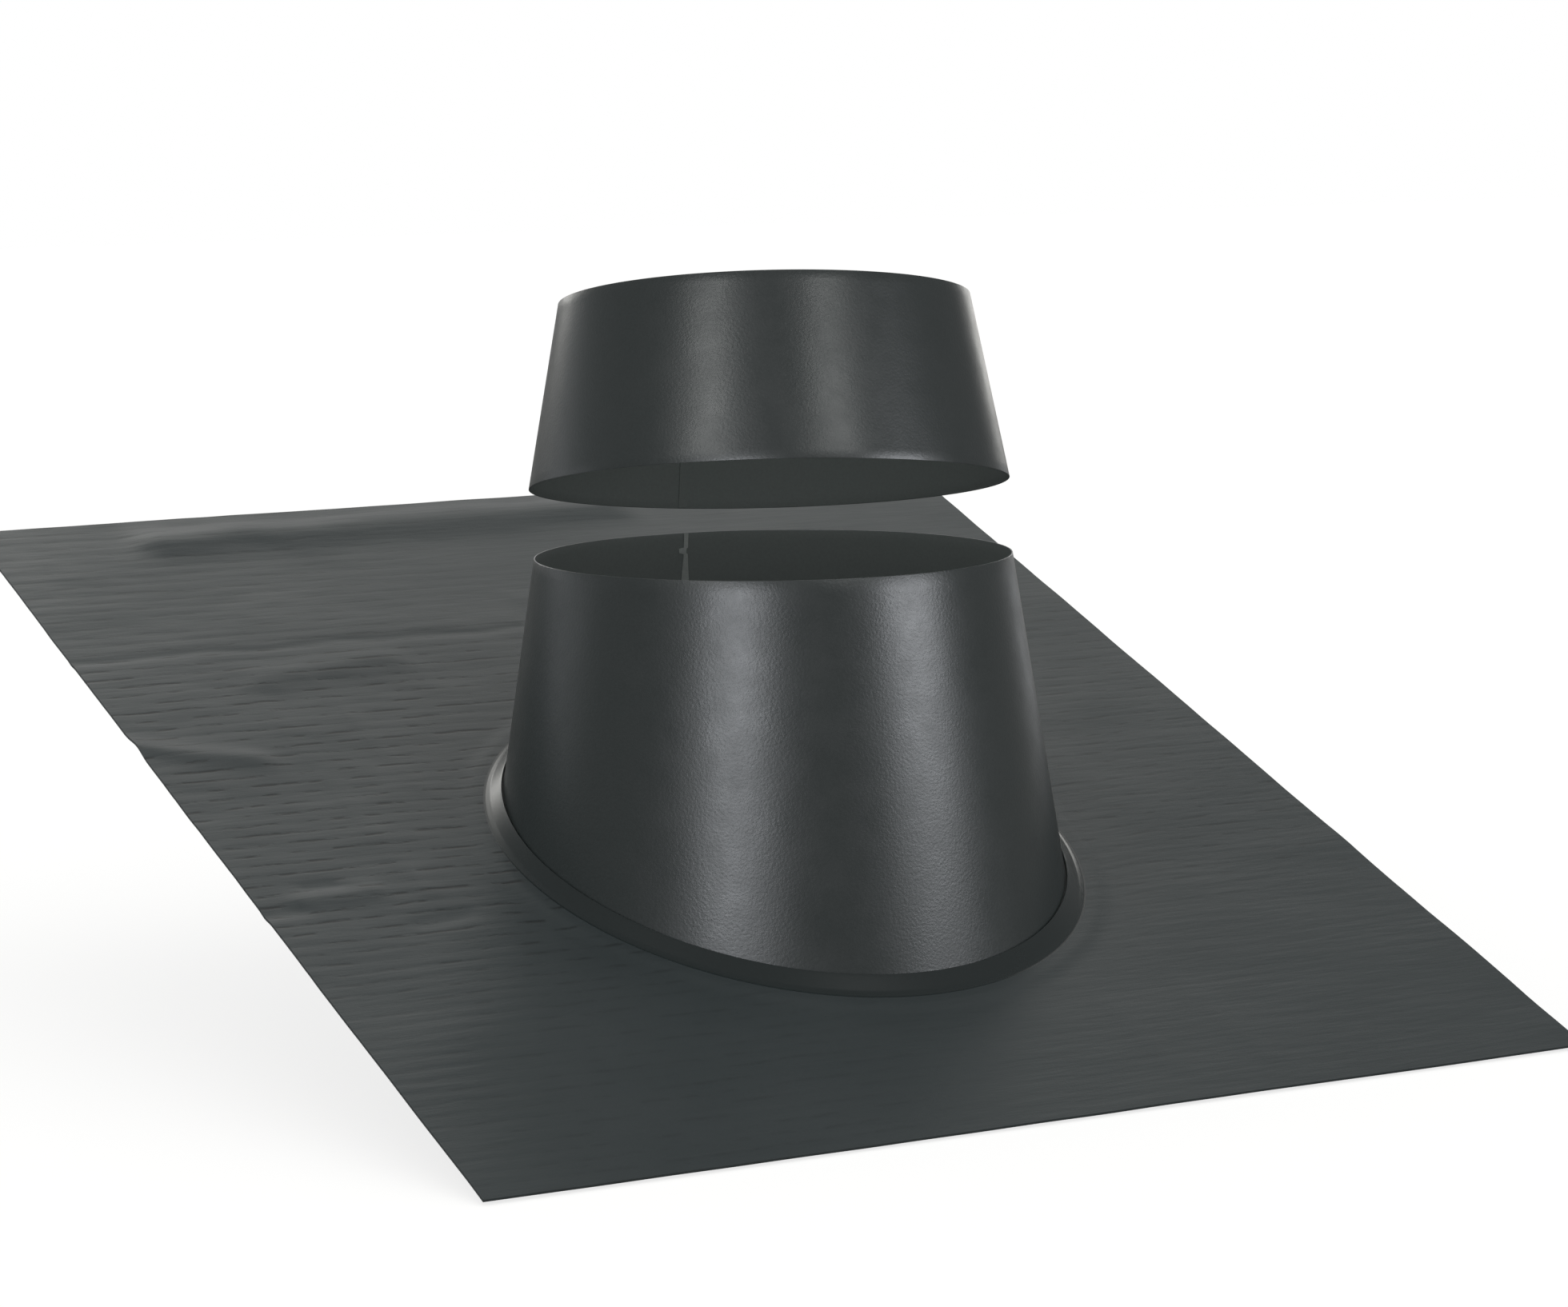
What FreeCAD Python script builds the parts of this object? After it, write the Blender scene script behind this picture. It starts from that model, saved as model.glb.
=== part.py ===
import FreeCAD, Part
import Sketcher
import os

# Roof flashing for an insulated round flue: a flexible ribbed apron, an oblique steel
# cone that stands on it, a sealing bead between them, and a loose storm collar.
#
# Frame: the origin is where the flue's axis meets the underside of the apron, +Z runs up
# the flue, +Y is level and points uphill, and +X is level, across the roof.
#
# "Roof frame" below means x across, y up the slope and z square to the roof, with the
# apron's underside at z = 0. Everything that lies on the roof is built there, and the
# roof pitch turns it about X into place.

SIZES = {
    # what the flashing is made for
    "roof_angle": 20.0,
    "flue_diameter": 250.0,
    # apron: flexible sheet with ribs across it
    "apron_width": 720.0,
    "apron_downhill": 344.0,
    "apron_uphill": 488.0,
    "apron_side_offset": 7.0,
    "apron_thickness": 1.5,
    "rib_pitch": 11.7,
    "rib_height": 0.4,
    "rib_root": 0.1,
    # cone: rolled steel
    "steel_wall": 0.8,
    "cone_height": 172.0,
    "cone_half_angle": 8.8,
    "cone_flue_gap": 20.0,
    "flange_width": 14.0,
    "seam_width": 6.0,
    "seam_angle": 83.0,
    # upstand of the apron, leaning on the cone's foot at 45 degrees
    "lip_height": 9.8,
    "lip_gap": 0.5,
    "bead_gap": 0.1,
    "bead_top_width": 0.6,
    # storm collar, lifted off the cone and leaned back
    "collar_flue_gap": 1.0,
    "collar_skirt_gap": 1.0,
    "collar_height": 114.0,
    "collar_lift": 40.0,
    "collar_shift": 27.5,
    "collar_tilt": 11.15,
    "collar_lean_angle": 65.5,
}

os.makedirs("parts", exist_ok=True)
doc = FreeCAD.newDocument("roof_flashing")

sheet = doc.addObject("Spreadsheet::Sheet", "Sizes")
for row, (name, value) in enumerate(SIZES.items(), start=1):
    sheet.set(f"A{row}", name)
    sheet.set(f"B{row}", str(value))
    sheet.setAlias(f"B{row}", name)
doc.recompute()


# Lengths worked out from the sheet, as expressions in FreeCAD's own formula language.

def cell(name):
    return f"Sizes.{name}"


ROOF = cell("roof_angle")
WALL = cell("steel_wall")
THICKNESS = cell("apron_thickness")
BEAD_GAP = cell("bead_gap")
FLANGE = cell("flange_width")
LIP_HEIGHT = cell("lip_height")
LIP_GAP = cell("lip_gap")
CONE_HEIGHT = cell("cone_height")
TAPER = f"tan({cell('cone_half_angle')})"
DIAGONAL = "sqrt(2)"

APRON_LENGTH = f"({cell('apron_downhill')} + {cell('apron_uphill')})"
CONE_BORE = f"({cell('flue_diameter')} / 2 + {cell('cone_flue_gap')})"
CONE_RIM = f"({CONE_BORE} + {WALL})"
CONE_FOOT = f"({CONE_RIM} + {CONE_HEIGHT} * {TAPER})"
# Parallel planes cut a cone in ellipses that shrink alike; LEAN says how far from round.
LEAN = f"({TAPER} * tan({ROOF}))"
FLATNESS = f"(1 - {LEAN}^2)"
# The roof plane meets the cone highest on its uphill side and lowest on its downhill side.
FOOT_TOP = f"({CONE_FOOT} * tan({ROOF}) / (1 + {LEAN}))"
FOOT_BOTTOM = f"(-{CONE_FOOT} * tan({ROOF}) / (1 - {LEAN}))"
# How far a tool that cuts runs past what it cuts.
OVERCUT = "5"

# Section of the upstand, measured out from the cone's wall: its sloping outer face is
# LIP_REACH from the wall at the lip and spreads by as much as it comes down.
LIP_REACH = f"({LIP_GAP} + {THICKNESS} / {DIAGONAL})"
OVER_FLANGE = f"({WALL} + {BEAD_GAP})"
STEP_REACH = f"({FLANGE} + {BEAD_GAP} + {THICKNESS})"

COLLAR_TOP = f"({cell('flue_diameter')} / 2 + {cell('collar_flue_gap')})"
COLLAR_SKIRT = f"({CONE_RIM} + {cell('collar_skirt_gap')})"


def slope_outside(height):
    return f"({LIP_REACH} + {LIP_HEIGHT} - ({height}))"


def slope_inside(height):
    return f"({slope_outside(height)} - {THICKNESS} * {DIAGONAL})"


# Helpers that make bound objects.

def bind(thing, **formulas):
    """Bind properties to formulas; a double underscore stands for a dot."""
    for path, formula in formulas.items():
        thing.setExpression(path.replace("__", "."), formula)
    return thing


def origin_plane(body, role):
    return next(f for f in body.Origin.OriginFeatures if f.Role == role)


def polygon_sketch(body, role, name, corners):
    """A closed polygon on one of the body's origin planes, each corner set by two formulas."""
    sketch = body.newObject("Sketcher::SketchObject", name)
    sketch.AttachmentSupport = [(origin_plane(body, role), "")]
    sketch.MapMode = "FlatFace"
    count = len(corners)
    values = [(sheet_value(x), sheet_value(y)) for x, y in corners]
    for index in range(count):
        start = FreeCAD.Vector(*values[index], 0)
        end = FreeCAD.Vector(*values[(index + 1) % count], 0)
        sketch.addGeometry(Part.LineSegment(start, end), False)
    for index in range(count):
        sketch.addConstraint(Sketcher.Constraint("Coincident", index, 2, (index + 1) % count, 1))
    for index, (x, y) in enumerate(corners):
        place_point(sketch, index, 1, x, y)
    return sketch


def sheet_value(formula):
    """What a formula comes to with the present sizes."""
    return float(sheet.evalExpression(str(formula)))


def place_point(sketch, geometry, point, x, y):
    """Tie a sketch point to the sketch's origin by two bound distances."""
    for kind, formula in (("DistanceX", x), ("DistanceY", y)):
        value = sheet_value(formula)
        index = sketch.addConstraint(
            Sketcher.Constraint(kind, -1, 1, geometry, point, value))
        label = f"{kind}_{geometry}_{point}"
        sketch.renameConstraint(index, label)
        sketch.setExpression(f"Constraints.{label}", str(formula))


# The cone's outer face is cut by planes parallel to the roof in ellipses.

def cone_section(name, height, outset):
    """The ellipse at HEIGHT over the roof, grown by OUTSET, in the roof frame."""
    radius = f"({CONE_FOOT} - ({height}) * {TAPER} / cos({ROOF}))"
    ellipse = doc.addObject("Part::Ellipse", name)
    ellipse.Placement.Rotation = FreeCAD.Rotation(FreeCAD.Vector(0, 0, 1), 90)
    return bind(
        ellipse,
        MajorRadius=f"{radius} / (cos({ROOF}) * {FLATNESS}) + ({outset})",
        MinorRadius=f"{radius} / sqrt({FLATNESS}) + ({outset})",
        Placement__Base__y=(
            f"(({height}) * sin({ROOF}) - {radius} * {LEAN} / {FLATNESS}) / cos({ROOF})"),
        Placement__Base__z=f"{height}",
    )


def cone_ring(name, lower, upper):
    """A solid between two such ellipses, each given as (height, outset)."""
    loft = doc.addObject("Part::Loft", name)
    loft.Sections = [cone_section(f"{name}_low", *lower), cone_section(f"{name}_high", *upper)]
    loft.Solid = True
    loft.Ruled = True
    return loft


def fused(name, shapes):
    join = doc.addObject("Part::MultiFuse", name)
    join.Shapes = shapes
    return join


def cut(name, base, tool):
    difference = doc.addObject("Part::Cut", name)
    difference.Base = base
    difference.Tool = tool
    return difference


def turn_to_roof(thing):
    thing.Placement.Rotation = FreeCAD.Rotation(FreeCAD.Vector(1, 0, 0), 1)
    return bind(thing, Placement__Rotation__Angle=ROOF)


def make_apron():
    """Sheet with ribs across it, stepped over the cone's flange and turned up round it."""
    body = doc.addObject("PartDesign::Body", "apron_sheet")
    left = f"({cell('apron_side_offset')} - {cell('apron_width')} / 2)"
    right = f"({cell('apron_side_offset')} + {cell('apron_width')} / 2)"
    low = f"(-{cell('apron_downhill')})"
    high = cell("apron_uphill")
    outline = polygon_sketch(body, "XY_Plane", "apron_outline", [
        (left, low), (right, low), (right, high), (left, high)])
    blank = body.newObject("PartDesign::Pad", "apron_blank")
    blank.Profile = outline
    bind(blank, Length=THICKNESS)

    pad = rib_pad(body, left, low)
    ribs = body.newObject("PartDesign::LinearPattern", "ribs")
    ribs.Originals = [pad]
    ribs.Direction = (next(f for f in body.Origin.OriginFeatures if f.Role == "Y_Axis"), [""])
    ribs.Mode = "Spacing"
    count = f"floor({APRON_LENGTH} / {cell('rib_pitch')})"
    bind(ribs, Offset=cell("rib_pitch"), Occurrences=count)
    body.Tip = ribs

    step_top = f"({THICKNESS} + {OVER_FLANGE})"
    step = cone_ring("step", ("0", f"{STEP_REACH} + {step_top}"), (step_top, STEP_REACH))
    upstand = cone_ring("upstand", ("0", slope_outside("0")), (LIP_HEIGHT, LIP_REACH))
    solid = fused("apron_solid", [body, step, upstand])

    flange_reach = f"({FLANGE} + {BEAD_GAP})"
    recess = cone_ring(
        "flange_recess", (f"-{OVERCUT}", flange_reach), (OVER_FLANGE, flange_reach))
    lip_corner = f"({LIP_HEIGHT} - {THICKNESS} / {DIAGONAL})"
    hollow = cone_ring("upstand_hollow", ("0", slope_inside("0")), (lip_corner, LIP_GAP))
    flare = cone_ring(
        "lip_edge", (lip_corner, LIP_GAP),
        (f"{LIP_HEIGHT} + {OVERCUT}", f"{LIP_REACH} + {OVERCUT}"))
    hole = fused("apron_hole", [recess, hollow, flare])
    return turn_to_roof(cut("apron", solid, hole))


def rib_pad(body, left, low):
    """One rib: a shallow arch as long as the apron is wide, at the apron's lower edge."""
    margin = f"(mod({APRON_LENGTH}; {cell('rib_pitch')}) / 2)"
    root = f"({THICKNESS} - {cell('rib_root')})"
    start = f"({low} + {margin})"
    end = f"({start} + {cell('rib_pitch')})"
    rise = f"({cell('rib_height')} + {cell('rib_root')})"
    sketch = body.newObject("Sketcher::SketchObject", "rib_section")
    sketch.AttachmentSupport = [(origin_plane(body, "YZ_Plane"), "")]
    sketch.MapMode = "FlatFace"
    y0, y1, z0, up = (sheet_value(f) for f in (start, end, root, rise))
    crown = FreeCAD.Vector((y0 + y1) / 2, z0 + up, 0)
    sketch.addGeometry(Part.LineSegment(FreeCAD.Vector(y0, z0, 0), FreeCAD.Vector(y1, z0, 0)), False)
    sketch.addGeometry(Part.Arc(FreeCAD.Vector(y1, z0, 0), crown, FreeCAD.Vector(y0, z0, 0)), False)
    sketch.addConstraint(Sketcher.Constraint("Coincident", 0, 2, 1, 1))
    sketch.addConstraint(Sketcher.Constraint("Coincident", 0, 1, 1, 2))
    place_point(sketch, 0, 1, start, root)
    place_point(sketch, 0, 2, end, root)
    radius = f"(({cell('rib_pitch')} / 2)^2 + {rise}^2) / (2 * {rise})"
    index = sketch.addConstraint(Sketcher.Constraint("Radius", 1, sheet_value(radius)))
    sketch.renameConstraint(index, "crown_radius")
    sketch.setExpression("Constraints.crown_radius", radius)
    bind(sketch, AttachmentOffset__Base__z=left)
    pad = body.newObject("PartDesign::Pad", "rib")
    pad.Profile = sketch
    bind(pad, Length=cell("apron_width"))
    return pad


def make_sealing_bead():
    """Butyl that fills the corner between flange, cone wall and upstand."""
    bottom = f"({WALL} + {BEAD_GAP})"
    slope_gap = f"({BEAD_GAP} * {DIAGONAL})"
    reach = f"({slope_inside(bottom)} - {slope_gap})"
    # The slope comes in by as much as it rises, until the bead is down to its top width.
    top_reach = f"({BEAD_GAP} + {cell('bead_top_width')})"
    top = f"({bottom} + {reach} - {top_reach})"
    outside = cone_ring("bead_outside", (bottom, reach), (top, top_reach))
    core = cone_ring(
        "bead_core", (f"{bottom} - {OVERCUT}", BEAD_GAP), (f"{top} + {OVERCUT}", BEAD_GAP))
    return turn_to_roof(cut("sealing_bead", outside, core))


def round_cone(name, low, high, low_radius, high_radius):
    """A solid cone on the flue's axis between two levels."""
    solid = doc.addObject("Part::Cone", name)
    return bind(solid, Placement__Base__z=low, Height=f"{high} - ({low})",
                Radius1=low_radius, Radius2=high_radius)


def lap_seam(name, low, high, low_radius, high_radius):
    """The inner end of a rolled sheet where it laps the outer end, inside the wall.

    The radii are those of the wall's inner face. The strip is let into the wall by half
    of the sheet's thickness, so that the two make one solid.
    """
    face = round_cone(f"{name}_face", low, high, f"{low_radius} + {WALL} / 2",
                      f"{high_radius} + {WALL} / 2")
    back = round_cone(f"{name}_back", low, high, f"{low_radius} - {WALL}",
                      f"{high_radius} - {WALL}")
    face.Placement.Rotation = FreeCAD.Rotation(FreeCAD.Vector(0, 0, 1), 1)
    bind(face, Angle=f"{cell('seam_width')} / ({high_radius}) * 180 / pi",
         Placement__Rotation__Angle=cell("seam_angle"))
    return cut(name, face, back)


def make_cone():
    """Rolled oblique cone: a round rim, a foot cut at the roof pitch, and a foot flange."""
    body = doc.addObject("PartDesign::Body", "cone_blank")
    low = f"({FOOT_BOTTOM} - {OVERCUT})"
    low_radius = f"({CONE_FOOT} - {low} * {TAPER})"
    profile = polygon_sketch(body, "XZ_Plane", "cone_profile", [
        ("0", low), (low_radius, low), (CONE_RIM, CONE_HEIGHT), ("0", CONE_HEIGHT)])
    solid = body.newObject("PartDesign::Revolution", "cone_turned")
    solid.Profile = profile
    solid.ReferenceAxis = (profile, ["V_Axis"])
    solid.Angle = 360
    # The offcut is a block under the roof plane that is wider than the cone all round.
    far = f"({low_radius} + {OVERCUT})"
    rise = f"({far} * tan({ROOF}))"
    offcut = polygon_sketch(body, "YZ_Plane", "roof_line", [
        (f"-{far}", f"-{rise}"),
        (f"-{far}", f"-{rise} * 2 - {OVERCUT}"),
        (far, f"-{rise} * 2 - {OVERCUT}"),
        (far, rise)])
    trim = body.newObject("PartDesign::Pocket", "roof_cut")
    trim.Profile = offcut
    trim.Midplane = True
    bind(trim, Length=f"{far} * 2")
    body.Tip = trim

    flange = turn_to_roof(cone_ring("foot_flange", ("0", FLANGE), (WALL, FLANGE)))
    outside = fused("cone_outside", [body, flange])
    bore = round_cone(
        "cone_bore", low, f"({CONE_HEIGHT} + {OVERCUT})",
        f"{low_radius} - {WALL}", f"{CONE_BORE} - {OVERCUT} * {TAPER}")
    wall = cut("cone_wall", outside, bore)
    seam = lap_seam("cone_seam", FOOT_TOP, CONE_HEIGHT,
                    f"({CONE_BORE} + ({CONE_HEIGHT} - {FOOT_TOP}) * {TAPER})", CONE_BORE)
    return fused("cone", [wall, seam])


def make_storm_collar():
    """A rolled cone that fits the flue at its top and slips over the cone's rim."""
    body = doc.addObject("PartDesign::Body", "collar_body")
    height = cell("collar_height")
    profile = polygon_sketch(body, "XZ_Plane", "collar_profile", [
        (COLLAR_SKIRT, "0"),
        (f"{COLLAR_SKIRT} + {WALL}", "0"),
        (f"{COLLAR_TOP} + {WALL}", height),
        (COLLAR_TOP, height)])
    wall = body.newObject("PartDesign::Revolution", "collar_wall")
    wall.Profile = profile
    wall.ReferenceAxis = (profile, ["V_Axis"])
    wall.Angle = 360
    body.Tip = wall
    seam = lap_seam("collar_seam", "0", height, COLLAR_SKIRT, COLLAR_TOP)
    collar = fused("storm_collar", [body, seam])

    lean = cell("collar_lean_angle")
    collar.Placement.Rotation = FreeCAD.Rotation(FreeCAD.Vector(0, 1, 0), 1)
    return bind(
        collar,
        Placement__Rotation__Axis__x=f"-sin({lean})",
        Placement__Rotation__Axis__y=f"cos({lean})",
        Placement__Rotation__Angle=cell("collar_tilt"),
        Placement__Base__x=f"{cell('collar_shift')} * cos({lean})",
        Placement__Base__y=f"{cell('collar_shift')} * sin({lean})",
        Placement__Base__z=f"{CONE_HEIGHT} + {cell('collar_lift')}",
    )


NODES = (make_apron(), make_cone(), make_sealing_bead(), make_storm_collar())
doc.recompute()

for thing in doc.Objects:
    if "Invalid" in thing.State or "Error" in thing.State:
        raise RuntimeError(f"{thing.Name} did not build: {thing.State}")
for node in NODES:
    shape = node.Shape
    if shape.isNull() or not shape.isValid() or len(shape.Solids) != 1:
        raise RuntimeError(f"{node.Label} is not one valid solid")
for node in NODES:
    node.Shape.exportStep(f"parts/{node.Label}.step")
    box = node.Shape.BoundBox
    print(f"{node.Label}: {node.Shape.Volume / 1000:.1f} cm3, "
          f"x {box.XMin:.1f} to {box.XMax:.1f}, y {box.YMin:.1f} to {box.YMax:.1f}, "
          f"z {box.ZMin:.1f} to {box.ZMax:.1f}")
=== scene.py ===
# %% [markdown]
# # Pipe flashing boot for a pitched roof
# A boot of three parts seals the hole that a round flue makes in a roof. A ribbed,
# flexible apron lies on the tiles. An oblique steel cone stands on it, and the apron turns
# up round the cone's foot in a narrow band. A steel storm collar slips over the flue above
# the cone; here it hangs lifted off and leaned back, as it is before it is fitted.
#
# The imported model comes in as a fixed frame. Each part below is a finely built piece that
# stands for its plain solid, in the same place and at the same size.

# %% Load the frame
import math

import bpy
import numpy as np
from mathutils import Matrix, Vector, geometry, noise


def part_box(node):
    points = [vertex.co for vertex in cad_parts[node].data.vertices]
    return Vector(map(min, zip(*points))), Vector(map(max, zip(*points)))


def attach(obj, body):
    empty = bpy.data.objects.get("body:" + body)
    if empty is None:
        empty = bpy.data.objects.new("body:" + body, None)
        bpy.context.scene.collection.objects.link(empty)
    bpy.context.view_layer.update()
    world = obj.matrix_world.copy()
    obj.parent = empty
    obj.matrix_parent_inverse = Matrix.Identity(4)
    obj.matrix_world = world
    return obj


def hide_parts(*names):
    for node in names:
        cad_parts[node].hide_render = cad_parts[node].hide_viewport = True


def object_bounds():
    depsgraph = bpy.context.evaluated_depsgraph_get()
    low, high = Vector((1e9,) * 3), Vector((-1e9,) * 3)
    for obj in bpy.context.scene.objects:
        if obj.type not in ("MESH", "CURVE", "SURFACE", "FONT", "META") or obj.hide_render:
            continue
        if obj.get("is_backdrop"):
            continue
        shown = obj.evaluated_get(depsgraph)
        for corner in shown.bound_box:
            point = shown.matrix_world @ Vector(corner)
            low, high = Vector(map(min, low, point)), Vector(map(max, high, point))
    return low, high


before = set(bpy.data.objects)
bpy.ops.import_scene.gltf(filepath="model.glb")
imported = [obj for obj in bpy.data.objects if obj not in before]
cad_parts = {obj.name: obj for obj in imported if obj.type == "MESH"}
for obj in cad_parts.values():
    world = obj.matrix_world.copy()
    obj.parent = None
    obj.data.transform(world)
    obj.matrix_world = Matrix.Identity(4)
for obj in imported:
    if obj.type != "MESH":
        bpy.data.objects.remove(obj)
frame_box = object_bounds()
for name in sorted(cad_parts):
    low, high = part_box(name)
    size = [round(1000 * (b - a)) for a, b in zip(low, high)]
    print(f"{name}: {size} mm")

# %% [markdown]
# ## Sizes
# A maker of this boot works in millimetres from a few numbers: the roof's pitch, the flue,
# the sheet that is cut for the apron and the gauge of the steel. Everything else follows
# from them, so the pieces meet where the solids meet.

# %% Driving sizes
MM = 0.001
PITCH = math.radians(20.0)
APRON_WIDTH, APRON_DOWNHILL, APRON_UPHILL = 720.0, 344.0, 488.0
APRON_MIDDLE = 7.0
SHEET = 1.5
RIB_PITCH, RIB_HEIGHT = 11.7, 0.4
WALL = 0.8
CONE_HEIGHT, CONE_RIM = 172.0, 145.8
TAPER = math.tan(math.radians(8.8))
FLANGE = 14.0
LIP_HEIGHT, LIP_GAP, CLEAR = 9.8, 0.5, 0.1
COLLAR_HEIGHT, COLLAR_TOP, COLLAR_SKIRT = 114.0, 126.8, 147.6
COLLAR_LIFT, COLLAR_SHIFT = 40.0, 27.5
COLLAR_TILT, COLLAR_LEAN = math.radians(11.15), math.radians(65.5)

CONE_FOOT = CONE_RIM + CONE_HEIGHT * TAPER
LEAN = TAPER * math.tan(PITCH)
LIP_REACH = LIP_GAP + SHEET / math.sqrt(2)
OVER_FLANGE = WALL + CLEAR
STEP_TOP = SHEET + OVER_FLANGE
STEP_REACH = FLANGE + CLEAR + SHEET
STEP_SPREAD = 12.0      # the sheet eases down over this width beside the flange
AROUND = 288
print(f"the cone is {2 * CONE_FOOT:.1f} mm across where the flue's axis meets the roof")

# %% [markdown]
# ## The roof frame
# The apron is easiest to describe flat: x runs across the roof, s up the slope and h square
# to it. One function turns such points to the pitch of the roof, in metres. A second gives
# the ovals: a plane parallel to the roof cuts the cone in an ellipse, and ellipses that are
# grown by an outset carry the flange, the step over it and the turned-up band.

# %% From the roof frame to the model's frame
def on_roof(points):
    """Points (x, s, h) in mm on the roof, in the model's frame in metres."""
    x, s, h = np.asarray(points, float).T
    return np.stack([x, s * math.cos(PITCH) - h * math.sin(PITCH),
                     s * math.sin(PITCH) + h * math.cos(PITCH)], axis=1) * MM


def oval(height, turn, outset=0.0):
    """Where the cone's outer face, grown by the outset, is at this height over the roof."""
    radius = CONE_FOOT - height * TAPER / math.cos(PITCH)
    flatness = 1 - LEAN ** 2
    along = radius / (math.cos(PITCH) * flatness) + outset
    across = radius / math.sqrt(flatness) + outset
    middle = (height * math.sin(PITCH) - radius * LEAN / flatness) / math.cos(PITCH)
    return np.stack([across * np.cos(turn), middle + along * np.sin(turn),
                     np.full_like(turn, height)], axis=1)


def distance_from_oval(x, s, height):
    """About how far points on the roof are outside that ellipse."""
    right, top, left, bottom = oval(height, np.radians([0.0, 90.0, 180.0, 270.0]))
    across, along = (right[0] - left[0]) / 2, (top[1] - bottom[1]) / 2
    u, v = x / across, (s - (top[1] + bottom[1]) / 2) / along
    reach = np.hypot(u, v)
    slope = np.hypot(u / across, v / along) / reach
    return (reach - 1) / slope


TURN = np.linspace(0, 2 * math.pi, AROUND, endpoint=False)
print(f"the foot's oval is {np.ptp(oval(0, TURN)[:, 0]):.0f} by {np.ptp(oval(0, TURN)[:, 1]):.0f} mm")

# %% [markdown]
# ## Finishes
# Materials are node trees. One small helper adds a node, sets its properties, and sets or
# links its inputs. Colours are written as sRGB hex, as a paint chart gives them, and turned
# to the linear values that Blender works in. Patterns are laid out on object coordinates,
# in metres, so a grain of 1 mm has a scale of about 1000.

# %% Helpers for node trees
def colour(code, alpha=1.0):
    """An sRGB hex colour as linear RGBA."""
    parts = [int(code[i:i + 2], 16) / 255 for i in (1, 3, 5)]
    return [c / 12.92 if c <= 0.04045 else ((c + 0.055) / 1.055) ** 2.4 for c in parts] + [alpha]


def add(tree, kind, settings=None, inputs=None):
    """Adds a node, sets its properties, and sets its inputs or links them to sockets."""
    node = tree.nodes.new(kind)
    for name, value in (settings or {}).items():
        setattr(node, name, value)
    for name, value in (inputs or {}).items():
        if isinstance(value, bpy.types.NodeSocket):
            tree.links.new(value, node.inputs[name])
        else:
            node.inputs[name].default_value = value
    return node


def new_material(name):
    """An empty material with its output node, ready for a shader."""
    material = bpy.data.materials.new(name)
    material.use_nodes = True
    material.node_tree.nodes.clear()
    return material, add(material.node_tree, "ShaderNodeOutputMaterial")

# %% [markdown]
# ### Black powder coat
# The cone and the collar are steel, sprayed with fine-texture polyester powder and baked.
# The film flows into tiny flat bumps, like the skin of an orange, so that a lamp shows as a
# broad soft stripe with a fine grain in it, and the edge of each part glints at a grazing
# angle. The colour is a black with a little green and grey in it. Handling leaves faint
# cloudy patches, a thumb wide, where the film is smoother.

# %% Powder coat
GRAIN = 1.7 * MM      # one bump of the film; real ones are near 0.4 mm, too fine to show
CLOUD = 26 * MM       # handling marks


def powder_coat():
    material, output = new_material("fine_texture_polyester_powder_coat_on_steel")
    tree = material.node_tree
    place = add(tree, "ShaderNodeTexCoord").outputs["Object"]
    grain = add(tree, "ShaderNodeTexNoise", inputs={
        "Vector": place, "Scale": 1 / GRAIN, "Detail": 3.0, "Roughness": 0.6})
    cloud = add(tree, "ShaderNodeTexNoise", inputs={
        "Vector": place, "Scale": 1 / CLOUD, "Detail": 6.0, "Roughness": 0.65})
    rough = add(tree, "ShaderNodeMapRange", inputs={
        "Value": cloud.outputs["Fac"], "From Min": 0.3, "From Max": 0.7,
        "To Min": 0.29, "To Max": 0.38})
    tint = add(tree, "ShaderNodeMix", {"data_type": "RGBA"}, {
        "Factor": grain.outputs["Fac"], "A": colour("#2d3333"), "B": colour("#373d3d")})
    bump = add(tree, "ShaderNodeBump", inputs={
        "Height": grain.outputs["Fac"], "Strength": 1.0, "Distance": 0.11 * MM})
    shader = add(tree, "ShaderNodeBsdfPrincipled", inputs={
        "Base Color": tint.outputs["Result"], "Roughness": rough.outputs["Result"],
        "Normal": bump.outputs["Normal"], "IOR": 1.5})
    tree.links.new(shader.outputs["BSDF"], output.inputs["Surface"])
    return material


POWDER_COAT = powder_coat()
print("finish:", POWDER_COAT.name)

# %% [markdown]
# ### The unpolished inside
# The gun never points inside these tubes. Powder drifts in and bakes on dry and rough, so
# the inside shows no stripes. Its flat grey is painted lighter than the outside, as painted
# light that lifts the shade inside the tubes.

# %% Inside, painted lighter
def inside_painted_lighter():
    material, output = new_material("dry_powder_inside_the_steel_painted_lighter")
    tree = material.node_tree
    place = add(tree, "ShaderNodeTexCoord").outputs["Object"]
    grain = add(tree, "ShaderNodeTexNoise", inputs={
        "Vector": place, "Scale": 1 / GRAIN, "Detail": 3.0, "Roughness": 0.6})
    # Painted light: the inside is set much lighter than the outside's black.
    tint = add(tree, "ShaderNodeMix", {"data_type": "RGBA"}, {
        "Factor": grain.outputs["Fac"], "A": colour("#606664"), "B": colour("#6c7270")})
    bump = add(tree, "ShaderNodeBump", inputs={
        "Height": grain.outputs["Fac"], "Strength": 0.4, "Distance": 0.08 * MM})
    shader = add(tree, "ShaderNodeBsdfPrincipled", inputs={
        "Base Color": tint.outputs["Result"], "Roughness": 0.8, "Specular IOR Level": 0.2,
        "Normal": bump.outputs["Normal"], "IOR": 1.5})
    tree.links.new(shader.outputs["BSDF"], output.inputs["Surface"])
    return material


INSIDE_PAINTED_LIGHTER = inside_painted_lighter()
print("finish:", INSIDE_PAINTED_LIGHTER.name)

# %% [markdown]
# ### Sheared edge
# The powder pulls back from a sheared edge as it bakes, so a thin, paler film lies over the
# zinc there.

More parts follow.
